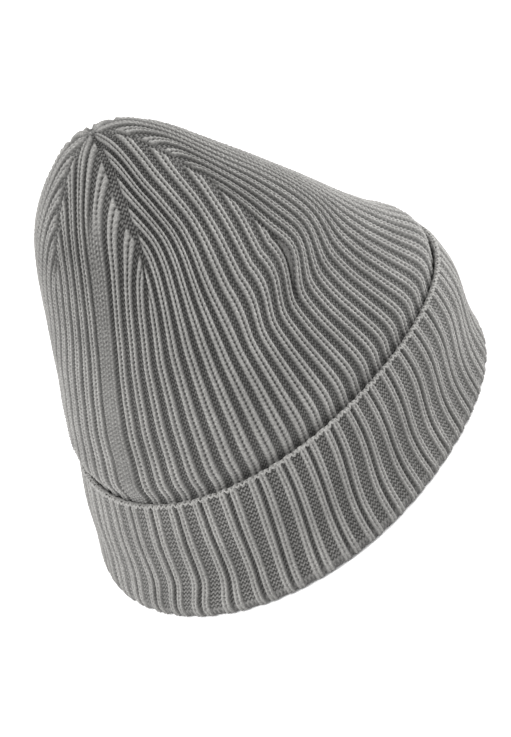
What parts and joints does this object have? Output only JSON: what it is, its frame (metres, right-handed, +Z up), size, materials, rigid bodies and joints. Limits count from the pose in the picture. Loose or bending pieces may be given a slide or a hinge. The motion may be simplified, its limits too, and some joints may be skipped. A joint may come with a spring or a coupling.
{
  "type": "knit beanie",
  "caption": "Rib-knit beanie with a turned-up cuff, a gathered crown, a sewn back seam and a care label that flips on its sewn edge.",
  "frame": {"origin": "centre of the hat's box on the plane that its folded rim stands on", "axes": "+Z up from the rim to the crown, -Y towards the forehead, +Y towards the back seam"},
  "size_m": [0.1889, 0.2154, 0.203],
  "materials": {
    "yarn": "soft matt wool-blend yarn, rib knit",
    "label_cloth": "smooth woven satin tape",
    "thread": "twisted sewing thread"
  },
  "bodies": {
    "hat": {"knit_body": "yarn", "turned_up_cuff": "yarn", "cuff_edge_chain": "yarn", "back_seam": "yarn", "cuff_seam": "yarn", "gather_yarn": "yarn", "gather_knot": "yarn", "label_stitching": "thread"},
    "label": {"care_label": "label_cloth"}
  },
  "joints": [
    {"name": "label_flip", "type": "hinge", "parent": "hat", "child": "label", "pos_m": [-0.01427, 0.08095, 0.052], "axis": [-0.9848, -0.1736, 0], "range_deg": [0, 90]}
  ]
}
